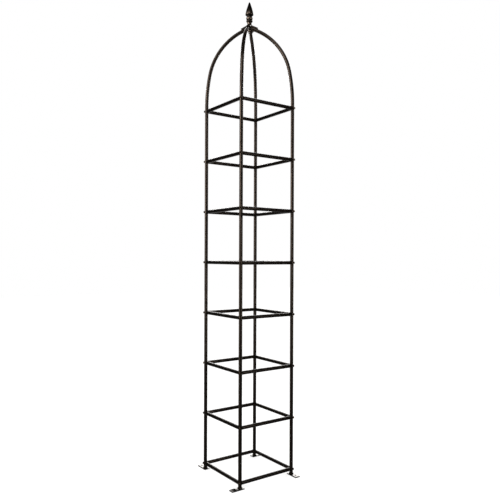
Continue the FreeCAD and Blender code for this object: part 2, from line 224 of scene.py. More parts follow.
def weld_bead(path, radius, *, count, ripple, pitch, flat):
    """Weld bead with small overlapping ripples and rounded ends."""
    path = np.array(path, float)
    along = np.r_[0, np.cumsum(np.linalg.norm(np.diff(path, axis=0), axis=1))]
    length = along[-1]
    stations = np.linspace(0, length, max(8, int(length / (pitch / 4))))
    centres = np.column_stack([np.interp(stations, along, path[:, k]) for k in range(3)])
    tangents = np.gradient(centres, axis=0)
    tangents /= np.linalg.norm(tangents, axis=1)[:, None]
    up = np.array([0.0, 0, 1.0])
    end_l = radius * 1.1
    shell, rows = Shell(), []
    for station, centre, tangent in zip(stations, centres, tangents):
        a = up - (up @ tangent) * tangent
        if np.linalg.norm(a) < 1e-3:               # the path is vertical here
            a = np.array([1.0, 0, 0]) - tangent[0] * tangent
        a /= np.linalg.norm(a)
        b = np.cross(tangent, a)
        reach = min(1.0, min(station, length - station) / end_l)
        taper = math.sqrt(1 - (1 - reach) ** 2)
        phase = (station / pitch) % 1.0
        r = radius * (1 + ripple * (1 - phase) ** 1.5 - ripple * 0.5) * max(taper, 0.02)
        row = []
        for k in range(count):
            angle = 2 * math.pi * k / count
            row.append(shell.point(
                centre + r * (math.cos(angle) * a + flat * math.sin(angle) * b)))
        rows.append(row)
    shell.bridge_capped(rows)
    return shell


def add_object(name, mesh, slot, node):
    """Object that rides on the root and stands in for a node of the frame."""
    obj = bpy.data.objects.new(name, mesh)
    SCENE.collection.objects.link(obj)
    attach(obj, "root")
    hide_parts(node)
    return obj


def make(name, shell, material, slot, node, sharp=35.0, turn=0.0, shift=(0, 0, 0),
         brush_shift=(0, 0, 0)):
    """Object from a shell, turned about Z and then shifted.  Edges over sharp
    degrees stay crisp; brush_shift gives each copy strokes of its own."""
    verts = turned(shell.verts, turn) + np.array(shift)
    mesh = bpy.data.meshes.new(name)
    mesh.from_pydata([tuple(v) for v in verts], [], shell.faces)
    mesh.update()
    brush = np.array(shell.brush) + np.array(brush_shift)
    attribute = mesh.attributes.new("brush", "FLOAT_VECTOR", "POINT")
    attribute.data.foreach_set("vector", brush.astype(np.float32).ravel())
    bm = bmesh.new()
    bm.from_mesh(mesh)
    bmesh.ops.recalc_face_normals(bm, faces=bm.faces)
    bm.to_mesh(mesh)
    bm.free()
    mesh.shade_smooth()
    mesh.set_sharp_from_angle(angle=math.radians(sharp))
    mesh.materials.append(material)
    return add_object(name, mesh, slot, node)


# ------------------------------------------------------------- shader helpers
class Shader:
    """Builds a node tree; any input takes either a value or an output to link."""

    def __init__(self, tree):
        self.tree = tree
        tree.nodes.clear()

    def feed(self, socket, value):
        if isinstance(value, bpy.types.NodeSocket):
            self.tree.links.new(value, socket)
        else:
            socket.default_value = value

    def node(self, kind, inputs=None, **settings):
        node = self.tree.nodes.new(kind)
        for name, value in settings.items():
            setattr(node, name, value)
        for name, value in (inputs or {}).items():
            self.feed(node.inputs[name], value)
        return node

    def noise(self, vector, *, scale, detail, rough=0.5, warp=0.0, offset=(0, 0, 0)):
        """Noise; scale is one number or one for each axis."""
        mapping = self.node("ShaderNodeMapping", {
            "Scale": scale if isinstance(scale, tuple) else (scale,) * 3,
            "Location": offset, "Vector": vector})
        return self.node("ShaderNodeTexNoise", {
            "Scale": 1.0, "Detail": detail, "Roughness": rough, "Distortion": warp,
            "Vector": mapping.outputs[0]}).outputs[0]

    def ramp(self, value, *, low, high, start=0.0, end=1.0):
        """Smooth change from start to end as value goes from low to high."""
        return self.node("ShaderNodeMapRange", {
            "From Min": low, "From Max": high, "To Min": start, "To Max": end,
            "Value": value}, interpolation_type="SMOOTHSTEP").outputs["Result"]

    def math(self, operation, a, b):
        return self.node("ShaderNodeMath", {0: a, 1: b}, operation=operation).outputs[0]

    def weighted(self, *terms):
        """Sum of two (value, weight) pairs."""
        return self.math("ADD", *[self.math("MULTIPLY", v, weight) for v, weight in terms])

    def product(self, first, *others):
        for other in others:
            first = self.math("MULTIPLY", first, other)
        return first

    def mix(self, factor, *colours):
        """Blend from the first colour to the second."""
        inputs = {"Factor": factor}
        for socket, colour in zip((6, 7), colours):
            inputs[socket] = (*colour, 1.0) if isinstance(colour, tuple) else colour
        return self.node("ShaderNodeMix", inputs, data_type="RGBA").outputs[2]

    def bump(self, height, *, strength, depth):
        return self.node("ShaderNodeBump", {
            "Strength": strength, "Distance": depth, "Height": height}).outputs[0]


def new_material(name):
    """Material with its shader builder and Principled node."""
    material = bpy.data.materials.new(name)
    material.use_nodes = True
    shader = Shader(material.node_tree)
    output = shader.node("ShaderNodeOutputMaterial")
    surface = shader.node("ShaderNodeBsdfPrincipled")
    shader.feed(output.inputs[0], surface.outputs[0])
    return material, shader, surface


# ------------------------------------------------------------------ materials
def wear_edges(shader, colour, pointiness, strokes, amount, dark, light):
    """Rub convex edges bright and leave hollows black."""
    edge = shader.ramp(pointiness, low=0.515, high=0.60, end=amount)
    edge = shader.math("MULTIPLY", edge,
                       shader.ramp(strokes, low=0.35, high=0.62, start=0.35))
    colour = shader.mix(edge, colour, light)
    hollow = shader.ramp(pointiness, low=0.40, high=0.49, start=0.75, end=0.0)
    return shader.mix(hollow, colour, dark)


def paint_light_bands(shader, colour, position, strokes, painted_light_bands, dark, light):
    """Painted shade and painted highlights in level bands: black where the finial reads shaded
    (its tip, the neck under the bud, the groove), rubbed bronze where it catches the light
    (the bud's lower part, the beads, the foot); listed as (mm below the finial's tip, amount
    of black, amount of rubbed bronze)."""
    depth = painted_light_bands[-1][0]
    z = shader.node("ShaderNodeSeparateXYZ", {0: position}).outputs["Z"]
    down = shader.math("MULTIPLY", shader.math("SUBTRACT", TIP_Z, z), 1000.0 / depth)
    for column, tone in ((1, dark), (2, light)):
        node = shader.node("ShaderNodeValToRGB")
        stops = node.color_ramp.elements
        while len(stops) < len(painted_light_bands):
            stops.new(0.5)
        for stop, band in zip(stops, painted_light_bands):
            stop.position = band[0] / depth
            stop.color = (band[column], band[column], band[column], 1)
        shader.feed(node.inputs[0], down)
        amount = shader.math("MULTIPLY", node.outputs["Color"],
                             shader.ramp(strokes, low=0.30, high=0.62, start=0.7))
        colour = shader.mix(amount, colour, tone)
    return colour


def bronze(name, *,
           dark=(0.006, 0.0042, 0.0030),           # black paint
           mid=(0.026, 0.0180, 0.0125),            # thin bronze
           light=(0.115, 0.086, 0.066),            # bright bronze
           streak=(620, 620, 26),                  # stroke scale across, across and along
           cover=0.50,                             # noise level where the bronze starts
           rub=0.35,                               # most bright bronze
           rough=(0.16, 0.28),                     # roughness where rubbed, where black
           grain=900.0, grain_depth=0.00006,       # scale and depth of the paint texture
           pits=0.0,                               # depth of casting pits in the texture
           edge=0.0,                               # bright bronze on convex edges
           rim=0.5,                                # tint of reflections at grazing angles
           # painted shade and painted highlights in level bands, for the finial
           painted_light_bands=None):
    """Black paint rubbed over with bronze: strokes along the member, thick and
    thin places, and a fine paint texture."""
    material, shader, surface = new_material(name)
    geometry = shader.node("ShaderNodeNewGeometry")
    brush = shader.node("ShaderNodeAttribute", attribute_name="brush").outputs["Vector"]
    position = geometry.outputs["Position"]

    strokes = shader.noise(brush, scale=streak, detail=5.0, rough=0.62, warp=0.15)
    wide_strokes = shader.noise(brush, scale=tuple(s * 0.33 for s in streak), detail=3.0,
                                offset=(3.1, 1.7, 0.4))
    patches = shader.noise(position, scale=26.0, detail=3.0, rough=0.55, warp=0.6)
    wide_patches = shader.noise(position, scale=6.5, detail=2.0, warp=0.3,
                                offset=(5.2, 2.2, 7.1))
    coat = shader.weighted(
        (shader.weighted((strokes, 0.6), (wide_strokes, 0.4)), 0.62),
        (shader.weighted((patches, 0.45), (wide_patches, 0.55)), 0.38))
    thin = shader.ramp(coat, low=cover - 0.14, high=cover + 0.08)
    bright = shader.ramp(coat, low=cover + 0.045, high=cover + 0.16, end=rub)
    colour = shader.mix(bright, shader.mix(thin, dark, mid), light)
    if edge > 0:
        colour = wear_edges(shader, colour, geometry.outputs["Pointiness"], strokes, edge,
                            dark, light)
    # painted shade and painted highlights in level bands, used on the finial
    if painted_light_bands:
        colour = paint_light_bands(shader, colour, position, strokes, painted_light_bands, dark, light)
    shader.feed(surface.inputs["Base Color"], colour)
    surface.inputs["Metallic"].default_value = 0.88
    surface.inputs["Specular Tint"].default_value = (rim, rim, rim, 1.0)

    # the rubbed coat is smoother than the paint
    speckle = shader.noise(position, scale=420.0, detail=3.0, rough=0.55)
    shader.feed(surface.inputs["Roughness"], shader.math(
        "ADD",
        shader.ramp(coat, low=cover - 0.14, high=cover + 0.16, start=rough[1], end=rough[0]),
        shader.ramp(speckle, low=0.35, high=0.65, start=-0.035, end=0.05)))

    fine = shader.noise(position, scale=grain, detail=3.0, rough=0.6)
    scratches = shader.noise(brush, scale=tuple(s * 2.2 for s in streak), detail=2.0)
    height = shader.weighted((fine, 0.7), (scratches, 0.5))
    if pits > 0:
        cells = shader.node("ShaderNodeTexVoronoi", {"Scale": 260.0, "Vector": position},
                            feature="F1")
        height = shader.math("ADD", height, shader.ramp(
            cells.outputs["Distance"], low=0.0, high=0.35, start=-pits, end=0.0))
    shader.feed(surface.inputs["Normal"],
                shader.bump(height, strength=1.0, depth=grain_depth))
    return material


def zinc(name):
    """Bare zinc-plated steel with faint dark streaks."""
    material, shader, surface = new_material(name)
    position = shader.node("ShaderNodeNewGeometry").outputs["Position"]
    mottle = shader.noise(position, scale=260.0, detail=4.0, rough=0.6, warp=0.5)
    streaks = shader.noise(position, scale=(900, 900, 60), detail=3.0)
    colour = shader.mix(shader.ramp(mottle, low=0.35, high=0.65),
                        (0.36, 0.36, 0.37), (0.52, 0.52, 0.53))
    colour = shader.mix(shader.ramp(streaks, low=0.55, high=0.75, end=0.4),
                        colour, (0.24, 0.22, 0.19))
    shader.feed(surface.inputs["Base Color"], colour)
    surface.inputs["Metallic"].default_value = 1.0
    shader.feed(surface.inputs["Roughness"],
                shader.ramp(streaks, low=0.3, high=0.7, start=0.26, end=0.42))
    shader.feed(surface.inputs["Normal"], shader.bump(streaks, strength=0.6, depth=0.00003))
    return material


# painted shade and painted highlights on the finial: (mm below the tip, amount of black,
# amount of rubbed bronze)
FINIAL_PAINTED_LIGHT_BANDS = [
    (0, 1, 0), (30, 0.9, 0), (48, 0.35, 0.0), (60, 0.0, 0.12), (70, 0.0, 0.28),
    (73, 0.6, 0.1), (75, 1, 0), (84, 1, 0), (87, 0.1, 0.5), (91, 0.0, 0.9),
    (96, 0.0, 0.7), (98, 1, 0), (101, 1, 0), (103.5, 0.0, 0.15), (108, 0.1, 0.12),
    (111, 0.9, 0), (114, 0.7, 0.0), (117, 0.0, 0.7), (126, 0.2, 0.3)]

TUBE_PAINT = bronze(
    "bronze_tube", cover=0.47, rub=0.15, rough=(0.14, 0.22), rim=0.35,
    dark=(0.010, 0.0076, 0.0060), mid=(0.034, 0.0265, 0.0212), light=(0.105, 0.084, 0.068))
# the rungs' copy of the tube paint is darker, with less bronze: painted shade, as the bars
# read darker than the legs under these lights
RUNG_SHADED_PAINT = bronze(
    "bronze_ring_shaded", streak=(560, 560, 30), cover=0.54, rub=0.18, rim=0.8,
    dark=(0.004, 0.0028, 0.0020), mid=(0.015, 0.0103, 0.0072))
PLATE_PAINT = bronze(
    "bronze_plate", streak=(300, 300, 300), cover=0.55, rub=0.25, rough=(0.08, 0.17),
    edge=0.1, rim=1.0, dark=(0.005, 0.0037, 0.0028), mid=(0.024, 0.0180, 0.0140))
# black paint for the plate's sides and top border: painted shade
PLATE_SHADE_RIM_PAINT = bronze(
    "bronze_plate_shade_rim", streak=(300, 300, 300), cover=0.60, rub=0.1, rough=(0.42, 0.55),
    rim=0.3, dark=(0.004, 0.003, 0.0023), mid=(0.010, 0.0075, 0.0058))
CROWN_PAINT = bronze(
    "bronze_cast", streak=(210, 210, 90), cover=0.47, rub=0.2, rough=(0.20, 0.30),
    grain=520.0, grain_depth=0.00005, pits=0.1, edge=0.3, rim=0.8,
    dark=(0.008, 0.006, 0.0048), mid=(0.026, 0.0200, 0.0158), light=(0.13, 0.102, 0.080))
# the finial's paint carries painted shade and painted highlights in level bands
FINIAL_PAINT = bronze(
    "bronze_finial", streak=(260, 260, 36), cover=0.48, rub=0.25, rough=(0.17, 0.26),
    grain=520.0, pits=0.2, edge=0.4, painted_light_bands=FINIAL_PAINTED_LIGHT_BANDS,
    dark=(0.006, 0.0044, 0.0034), mid=(0.026, 0.0196, 0.0152), light=(0.13, 0.102, 0.080))
BOLT_PAINT = bronze(
    "bronze_bolt", streak=(420, 420, 420), rub=0.5, edge=0.8, light=(0.16, 0.118, 0.084))
ZINC = zinc("zinc_steel")

# ----------------------------------------------------------- legs and arms
TUBE_SEG = 32
TUBE_CHAMFER = 0.35 * MM
STRAIGHT_STEP, BEND_STEP = 24 * MM, 7 * MM         # longest rows of faces
# a hole replaces a square patch of the tube's grid, this many cells each way
HOLE_CELLS = 4
PATCH_BORDER = ([(-HOLE_CELLS, j) for j in range(-HOLE_CELLS, HOLE_CELLS)]
                + [(i, HOLE_CELLS) for i in range(-HOLE_CELLS, HOLE_CELLS)]
                + [(HOLE_CELLS, j) for j in range(HOLE_CELLS, -HOLE_CELLS, -1)]
                + [(i, -HOLE_CELLS) for i in range(HOLE_CELLS, -HOLE_CELLS, -1)])


def tube_stations(length, holes, spacing):
    """Rows along a tube: the chamfers, an even grid at each hole, and fill between."""
    cell = 2 * math.pi * LEG_R / TUBE_SEG
    fixed = [0.0, TUBE_CHAMFER, length - TUBE_CHAMFER, length]
    for hole in holes:
        fixed += [hole + k * cell for k in range(-HOLE_CELLS, HOLE_CELLS + 1)]
    fixed = sorted(set(round(x, 7) for x in fixed))
    rows = []
    for a, b in zip(fixed[:-1], fixed[1:]):
        count = max(1, int(math.ceil((b - a) / spacing((a + b) / 2))))
        rows += [a + (b - a) * i / count for i in range(count)]
    return np.array(rows + [fixed[-1]])


def drilled_tube(path, length, holes, spacing, brush_start=0.0):
    """Hollow tube along a path, drilled at the given stations.  Each hole runs
    along the path's normal, through both walls."""
    stations = tube_stations(length, holes, spacing)
    hole_rows = {int(np.argmin(abs(stations - hole))): hole for hole in holes}
    patches = [(row, column, hole) for row, hole in hole_rows.items()
               for column in (0, TUBE_SEG // 2)]
    angles = [2 * math.pi * k / TUBE_SEG for k in range(TUBE_SEG)]
    last = len(stations) - 1
    shell = Shell()

    def vert(station, angle, r):
        position, outward = path(station)
        around = math.cos(angle) * outward + math.sin(angle) * SIDEWAYS
        return shell.point(position + r * around,
                           (r * math.cos(angle), r * math.sin(angle), station + brush_start))

    def in_patches(first, end):
        return {(row + i, (column + j) % TUBE_SEG) for row, column, _ in patches
                for i in range(first, end) for j in range(first, end)}

    cut_cells = in_patches(-HOLE_CELLS, HOLE_CELLS)
    cut_points = in_patches(-HOLE_CELLS + 1, HOLE_CELLS)
    walls = (("outer", LEG_R), ("inner", LEG_BORE_R))
    grid = {}
    for wall, wall_r in walls:
        for i, station in enumerate(stations):
            chamfered = wall == "outer" and i in (0, last)
            r = LEG_R - TUBE_CHAMFER if chamfered else wall_r
            for k in range(TUBE_SEG):
                if (i, k) not in cut_points:
                    grid[wall, i, k] = vert(station, angles[k], r)
        for i in range(last):
            for k in range(TUBE_SEG):
                if (i, k) in cut_cells:
                    continue
                k2 = (k + 1) % TUBE_SEG
                face = (grid[wall, i, k], grid[wall, i, k2],
                        grid[wall, i + 1, k2], grid[wall, i + 1, k])
                shell.faces.append(face if wall == "outer" else face[::-1])
    for i in (0, last):
        ends = [[grid[wall, i, k] for k in range(TUBE_SEG)] for wall in ("inner", "outer")]
        shell.bridge(ends, flip=i != 0)

    # each patch narrows in steps from its square border to the round hole
    for row, column, hole in patches:
        rims = []
        for wall, r in walls:
            loop = [grid[wall, row + i, (column + j) % TUBE_SEG] for i, j in PATCH_BORDER]
            for step in (0.4, 0.75, 1.0):
                narrower = []
                for i, j in PATCH_BORDER:
                    side = r * math.sin(2 * math.pi * j / TUBE_SEG)
                    along = stations[row + i] - hole
                    angle = math.atan2(i, j)
                    side += (BOLT_HOLE_R * math.cos(angle) - side) * step
                    along += (BOLT_HOLE_R * math.sin(angle) - along) * step
                    around = math.asin(max(-1, min(1, side / r)))
                    narrower.append(vert(hole + along, angles[column] + around, r))
                shell.bridge([loop, narrower], flip=wall == "inner")
                loop = narrower
            # only the loop round the rim is wanted here, so its end closes on its start
            rims.append(loop)
        shell.bridge(rims)
    return shell


crown_hole = TOP_START + (TOP_R - CROWN_BOLT_AT) / math.cos(SLOPE)
leg_tube = drilled_tube(leg_path, SEAM_Z - LEG_Z0, [z - LEG_Z0 for z in RUNG_Z if z < SEAM_Z],
                        lambda station: STRAIGHT_STEP)
arm_tube = drilled_tube(arm_path, ARM_L,
                        [z - SEAM_Z for z in RUNG_Z if z > SEAM_Z] + [crown_hole],
                        lambda station: STRAIGHT_STEP if station < STRAIGHT_L else BEND_STEP,
                        brush_start=SEAM_Z - LEG_Z0)
for k, (side, angle) in enumerate(SIDES.items()):
    for part, tube in (("lower_leg", leg_tube), ("dome_arm", arm_tube)):
        make("%s_tube_%s" % (part, side), tube, TUBE_PAINT, "frame_paint",
             "%s_%s" % (part, side), turn=angle, brush_shift=(k * 0.7, k * 0.3, k * 1.9))

# ---------------------------------------------------------------------- rungs
COPE_R = LEG_R + 0.05 * MM                         # bar's end, cut round the leg
MITRE_GAP = 0.7 * MM
BAR_SEG = 24
BOSS_R = 6.0 * MM
BOSS_START, BOSS_END = LEG_R + 0.3 * MM, 20.0 * MM # from the leg's axis
BOSS_CHAMFER, BOSS_BORE_CHAMFER = 0.8 * MM, 0.5 * MM


def bar_end(y):
    """Where the bar starts, from the leg's axis, at sideways offset y (+ inside)."""
    coped = math.sqrt(max(COPE_R ** 2 - y ** 2, 0.0))
    # mitred against the next bar inside, stopped near the leg's middle outside
    return max(coped, y, -y - MITRE_GAP)


def bar():
    """One bar along +X between two corners; +Y is the inside of the square."""
    shell = Shell()

    def row(fraction, x_at):
        out = []
        for k in range(BAR_SEG if fraction else 1):
            angle = 2 * math.pi * k / BAR_SEG
            y = fraction * BAR_R * math.cos(angle)
            z = fraction * BAR_R * math.sin(angle)
            x = x_at(y)
            out.append(shell.point((x, y, z), (y, z, x)))
        return out

    fractions = (0.0, 0.35, 0.65, 0.85, 1.0)       # of the radius, over an end face
    start = [row(fraction, bar_end) for fraction in fractions]
    end = [row(fraction, lambda y: RUNG_L - bar_end(y)) for fraction in fractions[::-1]]
    middle = [row(1.0, lambda y: RUNG_L * t) for t in np.linspace(0.06, 0.94, 9)]
    shell.bridge(start + middle + end)
    return shell


def boss():
    """Bored boss between the bars, drawn from the leg's axis along +Z."""
    c = BOSS_CHAMFER
    return lathe([
        (BOLT_R, BOSS_START), (BOSS_R, BOSS_START), (BOSS_R, BOSS_END - c),
        (BOSS_R - 0.25 * c, BOSS_END - 0.25 * c), (BOSS_R - c, BOSS_END),
        (BOLT_R + BOSS_BORE_CHAMFER, BOSS_END), (BOLT_R, BOSS_END - BOSS_BORE_CHAMFER)],
        28, closed=True)


def boss_welds():
    """Beads in the creases between the boss and the two bars, in corner axes
    (x and y run in along the bars)."""
    crease = []
    for degrees in np.linspace(-62, 62, 25):
        angle = math.radians(degrees)
        side = BOSS_R * math.cos(angle)
        z = BOSS_R * math.sin(angle)
        out = math.sqrt(2) * math.sqrt(BAR_R ** 2 - z ** 2) + side
        crease.append(((out + side) / math.sqrt(2), (out - side) / math.sqrt(2), z))
    mirrored = [(y, x, z) for x, y, z in crease]
    return [weld_bead(path, 1.25 * MM, count=10, ripple=0.22, pitch=1.1 * MM, flat=0.75)
            for path in (crease, mirrored)]


def rung():
    """Square of four bars with a boss and its welds in each corner, at z = 0."""
    shell = Shell()
    one_bar, one_boss, welds = bar(), boss(), boss_welds()
    first_corner = np.array([-CORNER, -CORNER, 0])
    for k in range(4):
        shell.add(turned(np.array(one_bar.verts) + first_corner, 90 * k),
                  np.array(one_bar.brush) + np.array([0, 0, k * 0.41]), one_bar.faces)
        angle = math.radians(225 + 90 * k)
        outward = np.array([math.cos(angle), math.sin(angle), 0])
        shell.add(place(one_boss.verts, AXIS_R * outward, -outward), one_boss.brush,
                  one_boss.faces)
        for weld in welds:
            shell.add(turned(np.array(weld.verts) + first_corner, 90 * k), weld.brush,
                      weld.faces)
    return shell


rung_shell = rung()
for i, (node, z) in enumerate(zip(RUNGS, RUNG_Z)):
    make("rung_" + node, rung_shell, RUNG_SHADED_PAINT, "frame_paint", node, shift=(0, 0, z),
         brush_shift=(i * 0.37, i * 0.21, i * 0.83))

# ---------------------------------------------------------- bolts and washers
HEX_SEG = 48
HEX_SHARP = 24                                     # degrees
BOLT_AF, BOLT_HEAD_H, BOLT_DOME = 10 * MM, 4 * MM, 0.25 * MM
HEAD_EDGE = 0.12 * MM                              # chamfer at the seat of a bolt's head
# how far each bolt head was turned when tightened, degrees
RUNG_BOLT_TWISTS = (17, 41, 3, 52)
CROWN_BOLT_TWISTS = (8, 33, 20, 50)


def hexagon(across):
    """Radii round a hexagon, the radius of its flat face, and how far the
    chamfer round that face has dropped at each radius."""
    radii = [across / 2 / math.cos((2 * math.pi * k / HEX_SEG) % (math.pi / 3) - math.pi / 6)
             for k in range(HEX_SEG)]
    face_r = across / 2 * 0.955
    return radii, face_r, [(r - face_r) * math.tan(math.radians(30)) for r in radii]


def hex_bolt(shank_l):
    """Bolt with its seat at z = 0, domed head below and shank above."""
    shell = Shell()
    radii, face_r, drops = hexagon(BOLT_AF)
    h, dome = BOLT_HEAD_H, BOLT_DOME
    rows = [shell.circle(r, z, HEX_SEG) for r, z in (
        (0, -h - dome), (face_r * 0.35, -h - dome * 0.88), (face_r * 0.7, -h - dome * 0.5),
        (face_r, -h))]
    rows.append(shell.ring([(r, -(h - drop)) for r, drop in zip(radii, drops)]))
    rows.append(shell.ring([(r, -HEAD_EDGE) for r in radii]))
    rows.append(shell.ring([(r - HEAD_EDGE, 0.0) for r in radii]))
    rows += [shell.circle(r, z, HEX_SEG) for r, z in (
        (BOLT_R, 0.0), (BOLT_R, shank_l - 0.7 * MM), (BOLT_R - 0.6 * MM, shank_l),
        (0, shank_l))]
    shell.bridge(rows)
    return shell


def hex_nut(across, height, bore_r):
    """Nut from z = -height to z = 0, chamfered on both faces."""
    shell = Shell()
    radii, face_r, drops = hexagon(across)
    mouth_r, mouth_h = bore_r + 0.35 * MM, 0.3 * MM
    rows = [shell.circle(r, z, HEX_SEG) for r, z in (
        (bore_r, -height + mouth_h), (mouth_r, -height), (face_r, -height))]
    rows.append(shell.ring([(r, -(height - drop)) for r, drop in zip(radii, drops)]))
    rows.append(shell.ring([(r, -drop) for r, drop in zip(radii, drops)]))
    rows += [shell.circle(r, z, HEX_SEG) for r, z in (
        (face_r, 0.0), (mouth_r, 0.0), (bore_r, -mouth_h))]
    shell.bridge(rows, closed=True)
    return shell


def washer(r, bore_r, t):
    c = 0.28 * MM                                  # rounding of the outer edges
    return lathe([(bore_r, 0), (r - c, 0), (r - 0.3 * c, 0.3 * c), (r, c), (r, t - c),
                  (r - 0.3 * c, t - 0.3 * c), (r - c, t), (bore_r, t)], 36, closed=True)


def at_corners(part, origin, direction, twists=(0, 0, 0, 0)):
    """The part at all four corners, each twisted about its own axis first."""
    shell = Shell()
    for k, angle in enumerate(SIDES.values()):
        placed = place(turned(part.verts, twists[k]), origin, direction)
        shell.add(turned(placed, angle), np.array(part.brush) + k * 0.05, part.faces)
    return shell


leg_face = AXIS_R + LEG_R                          # outer side of a leg
one_washer = washer(WASHER_R, BOLT_HOLE_R, WASHER_T)
rung_bolts = at_corners(hex_bolt(30 * MM), (leg_face + WASHER_T, 0, 0), (-1, 0, 0),
                        RUNG_BOLT_TWISTS)
rung_washers = at_corners(one_washer, (leg_face, 0, 0), (1, 0, 0))
for i, z in enumerate(RUNG_Z):
    spot = {"shift": (0, 0, z), "brush_shift": (i * 0.3, 0, i * 0.7)}
    make("rung_bolts_%d" % (i + 1), rung_bolts, BOLT_PAINT, "bolt_paint",
         "ring_bolts_%d" % (i + 1), sharp=HEX_SHARP, turn=90 * (i % 4), **spot)
    make("rung_washers_%d" % (i + 1), rung_washers, BOLT_PAINT, "bolt_paint",
         "ring_washers_%d" % (i + 1), **spot)

# crown bolts come up through the arms from below
crown_seat = top_point(CROWN_BOLT_AT, -LEG_R - WASHER_T)
make("crown_hex_bolts",
     at_corners(hex_bolt(25 * MM), crown_seat, TOP_NORMAL, CROWN_BOLT_TWISTS),
     BOLT_PAINT, "bolt_paint", "crown_bolts", sharp=HEX_SHARP)
make("crown_bolt_washers", at_corners(one_washer, crown_seat, TOP_NORMAL),
     BOLT_PAINT, "bolt_paint", "crown_washers")

# ---------------------------------------------------------------- foot plates
PLATE_L, PLATE_W = 76.2 * MM, 31.75 * MM
PLATE_BACK = 20.0 * MM                             # short end to the leg's axis
PLATE_CORNER_R = 3.5 * MM
PLATE_EDGE_R = 1.4 * MM
PLATE_HOLE_AT, PLATE_HOLE_R = 36.0 * MM, 4.5 * MM
SHADE_RIM_W = 4.5 * MM                                   # black border on the top: painted shade for the dark outline of the plate's edges
PLATE_TURN = 45.0                                  # plate's length to the diagonal, degrees


def plate_outline(inset):
    """Rounded rectangle, inset from the plate's sides."""
    r = max(PLATE_CORNER_R - inset, 0.3 * MM)
    x0, x1 = -PLATE_BACK + inset, PLATE_L - PLATE_BACK - inset
    y = PLATE_W / 2 - inset
    points = []
    for cx, cy, start in ((x1 - r, y - r, 0), (x0 + r, y - r, 90),
                          (x0 + r, -y + r, 180), (x1 - r, -y + r, 270)):
        for k in range(7):
            angle = math.radians(start + 90 * k / 6)
            points.append((cx + r * math.cos(angle), cy + r * math.sin(angle)))
    return points


def plate_hole(r, count=36):
    angles = [2 * math.pi * k / count for k in range(count)]
    return [(PLATE_HOLE_AT + r * math.cos(a), r * math.sin(a)) for a in angles]


def foot_plate():
    """Plate with rounded corners and edges, one hole and a weld round the leg;
    long side along X, leg axis at the origin, underside at z = 0."""
    e = PLATE_EDGE_R
    angles = [math.radians(a) for a in (0, 18, 36, 54, 72, 90)]
    # (inset, height) up the rounded edge, then in to the border on top
    levels = [(e - e * math.sin(a), e - e * math.cos(a)) for a in angles]
    levels += [(e - e * math.cos(a), PLATE_T - e + e * math.sin(a)) for a in angles]
    levels.append((e + SHADE_RIM_W, PLATE_T))
    bm = bmesh.new()
    outer, inner = [], []
    for inset, z in levels:
        widening = (min(inset, e) + max(0.0, inset - e) * 0.35) * 0.3
        outer.append([bm.verts.new((x, y, z)) for x, y in plate_outline(inset)])
        inner.append([bm.verts.new((x, y, z)) for x, y in plate_hole(PLATE_HOLE_R + widening)])
    for rows, flip in ((outer, False), (inner, True)):
        for a, b in zip(rows[:-1], rows[1:]):
            for k in range(len(a)):
                k2 = (k + 1) % len(a)
                face = (a[k], a[k2], b[k2], b[k])
                bm.faces.new(face[::-1] if flip else face)
    for level in (0, -1):
        edges = [bm.edges.get((loop[k], loop[(k + 1) % len(loop)]))
                 for loop in (outer[level], inner[level]) for k in range(len(loop))]
        bmesh.ops.triangle_fill(bm, use_beauty=True, use_dissolve=False, edges=edges)
    bm.verts.index_update()
    shell = Shell()
    verts = [tuple(v.co) for v in bm.verts]
    shell.add(verts, [(y, z, x) for x, y, z in verts],
              [tuple(v.index for v in face.verts) for face in bm.faces])
    bm.free()
    weld_r, weld_z = LEG_R + 1.25 * MM, PLATE_T + 1.15 * MM
    # the bead overlaps its own start a little
    path = [(weld_r * math.cos(a), weld_r * math.sin(a), weld_z)
            for a in np.linspace(0.3, 0.3 + 2 * math.pi * 1.03, 120)]
    weld = weld_bead(path, 2.3 * MM, count=12, ripple=0.16, pitch=1.5 * MM, flat=0.95)
    shell.add(weld.verts, weld.brush, weld.faces)
    return shell


def paint_plate_shade_rim(obj, angle):
    """Painted shade: black paint on the sides, the underside and the outer strip of the top,
    so the plate's edges read as a dark outline.
    """
    obj.data.materials.append(PLATE_SHADE_RIM_PAINT)
    centres = turned([face.center[:] for face in obj.data.polygons], -angle)
    centres = turned(centres - np.array([AXIS_R, 0, 0]), PLATE_TURN)
    for face, (x, y, z) in zip(obj.data.polygons, centres):
        inset = min(x + PLATE_BACK, PLATE_L - PLATE_BACK - x, PLATE_W / 2 - abs(y))
        below_top = z < PLATE_T - 0.05 * MM
        on_shade_strip = inset < SHADE_RIM_W * 0.75 and z < PLATE_T + 0.05 * MM
        if below_top or on_shade_strip:
            face.material_index = 1


plate = foot_plate()
for k, (side, angle) in enumerate(SIDES.items()):
    shell = Shell()
    shell.add(turned(plate.verts, -PLATE_TURN) + np.array([AXIS_R, 0, 0]),
              np.array(plate.brush) + k * 0.11, plate.faces)
    paint_plate_shade_rim(make("foot_plate_welded_" + side, shell, PLATE_PAINT, "frame_paint",
                         "foot_plate_" + side, turn=angle), angle)

